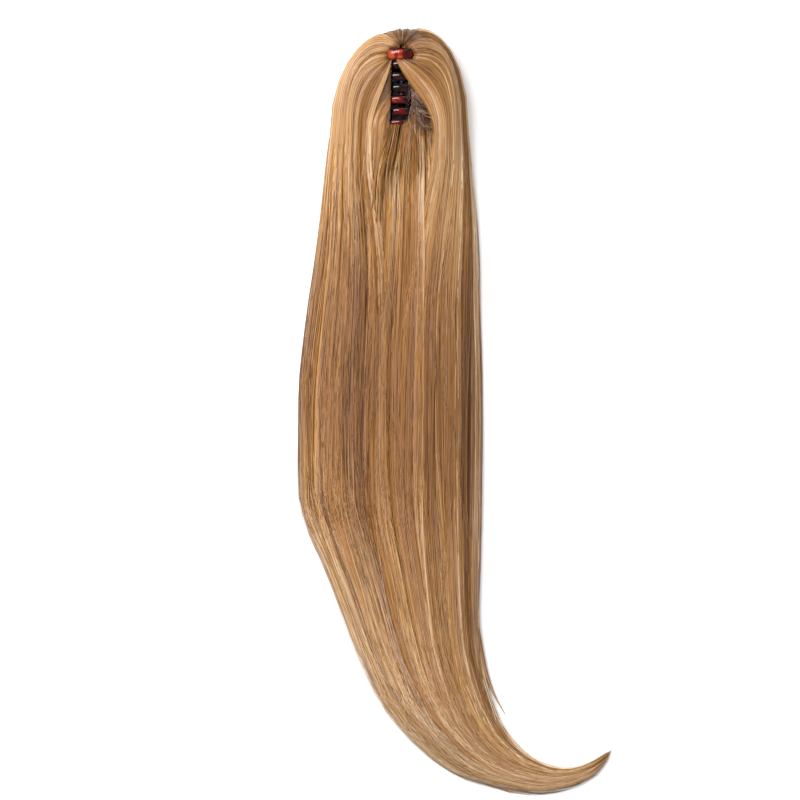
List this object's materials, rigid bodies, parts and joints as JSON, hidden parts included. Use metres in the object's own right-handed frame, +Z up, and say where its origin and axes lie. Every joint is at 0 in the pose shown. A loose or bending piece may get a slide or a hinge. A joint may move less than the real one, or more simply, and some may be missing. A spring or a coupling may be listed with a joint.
{
  "type": "ponytail hairpiece",
  "caption": "Long straight ponytail hairpiece lying flat, its hair sewn to the two sprung jaws of a hinged claw clip that grips the wearer's own ponytail.",
  "frame": {"origin": "on the surface it lies on, under the middle of its bounding box", "axes": "+Y from the tip of the hair towards the head end, along the claw's hinge; +Z up, the way the claw's mouth faces; +X to the right, the side that the tip sweeps to"},
  "size_m": [0.2261, 0.5521, 0.0476],
  "materials": {
    "claw": "translucent dark cherry tortoiseshell plastic, moulded and polished",
    "steel": "drawn spring steel",
    "weft": "dark sewn band of hair roots",
    "hair": "straight synthetic hair, honey and dark blond with lighter and golden strands"
  },
  "bodies": {
    "left_half": {"jaw_left": "claw", "hinge_pin": "steel", "torsion_spring": "steel", "weft_left": "weft", "hair_crown_left": "hair", "hair_tail": "hair"},
    "right_half": {"jaw_right": "claw", "weft_right": "weft", "hair_crown_right": "hair"}
  },
  "joints": [
    {"name": "claw_hinge", "type": "hinge", "parent": "left_half", "child": "right_half", "pos_m": [-0.0396, 0.232, 0.015], "axis": [0, 1, 0], "range_deg": [0, 40], "stiffness_Nm_per_rad": 0.25, "springref_deg": -28.65}
  ]
}
